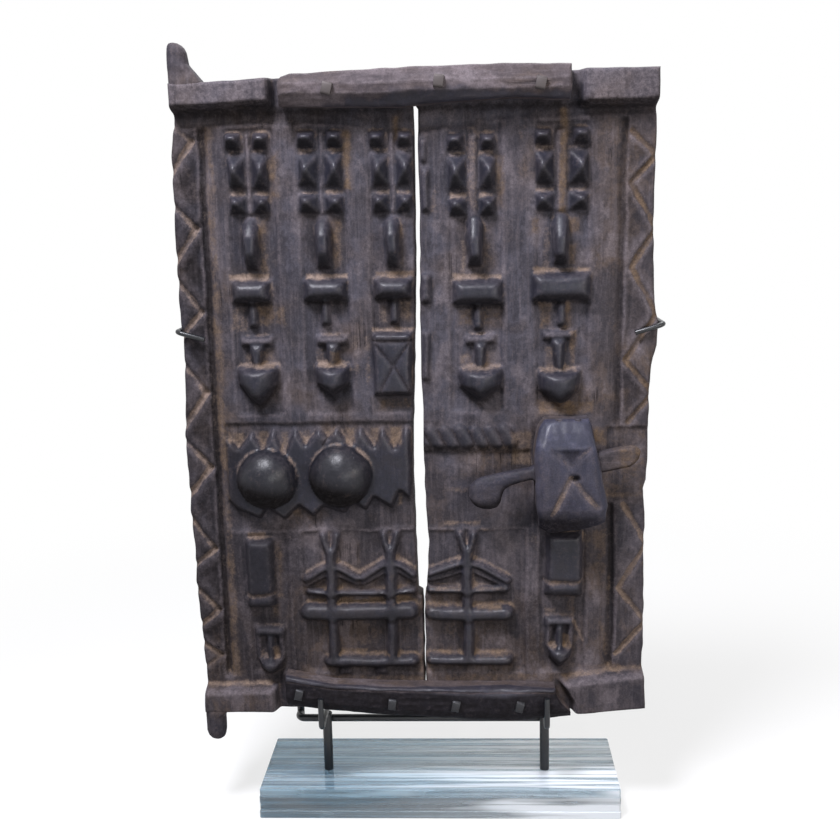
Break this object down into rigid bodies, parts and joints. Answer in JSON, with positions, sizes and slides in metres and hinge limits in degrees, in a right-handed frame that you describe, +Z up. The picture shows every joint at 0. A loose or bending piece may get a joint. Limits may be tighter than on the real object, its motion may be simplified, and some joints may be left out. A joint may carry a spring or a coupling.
{
  "type": "granary door",
  "caption": "Carved hardwood granary shutter of joined planks with pivot pins, battens and a wooden slide lock, held upright on a glass and steel display stand.",
  "frame": {"origin": "centre of the underside of the glass base", "axes": "+Z up, +X to the right of a viewer who faces the carved side, +Y away from that viewer through the planks"},
  "size_m": [0.4885, 0.1295, 0.7905],
  "materials": {
    "carved_wood": "aged and smoked hardwood with dust in the hollows",
    "batten_wood": "aged hardwood, worn on the edges",
    "lock_wood": "hand-polished dark hardwood",
    "bolt_wood": "hand-polished dark hardwood",
    "forged_iron": "forged, dark oxide",
    "base_glass": "clear polished plate",
    "black_steel": "satin black paint",
    "screw_steel": "zinc plated"
  },
  "bodies": {
    "door_on_stand": {"left_plank": "carved_wood", "right_plank": "carved_wood", "top_batten": "batten_wood", "bottom_batten": "batten_wood", "top_staples": "forged_iron", "bottom_staples": "forged_iron", "lock_case": "lock_wood", "lock_case_nails": "forged_iron", "shaft_plugs": "lock_wood", "glass_plate_1": "base_glass", "glass_plate_2": "base_glass", "glass_plate_3": "base_glass", "glass_plate_4": "base_glass", "base_screws": "screw_steel", "post_left": "black_steel", "post_right": "black_steel", "crossbar": "black_steel", "upright_left": "black_steel", "upright_right": "black_steel", "hook_left": "black_steel", "hook_right": "black_steel", "clip_left": "black_steel", "clip_right": "black_steel"},
    "bolt": {"lock_bolt": "bolt_wood"},
    "tumbler_1": {"tumbler_pin_1": "forged_iron"},
    "tumbler_2": {"tumbler_pin_2": "forged_iron"}
  },
  "joints": [
    {"name": "bolt_slide", "type": "slide", "parent": "door_on_stand", "child": "bolt", "axis": [0.9806, 0, 0.1959], "range_m": [0, 0.026]},
    {"name": "tumbler_1_lift", "type": "slide", "parent": "door_on_stand", "child": "tumbler_1", "axis": [-0.1959, 0, 0.9806], "range_m": [0, 0.006]},
    {"name": "tumbler_2_lift", "type": "slide", "parent": "door_on_stand", "child": "tumbler_2", "axis": [-0.1959, 0, 0.9806], "range_m": [0, 0.006]}
  ]
}
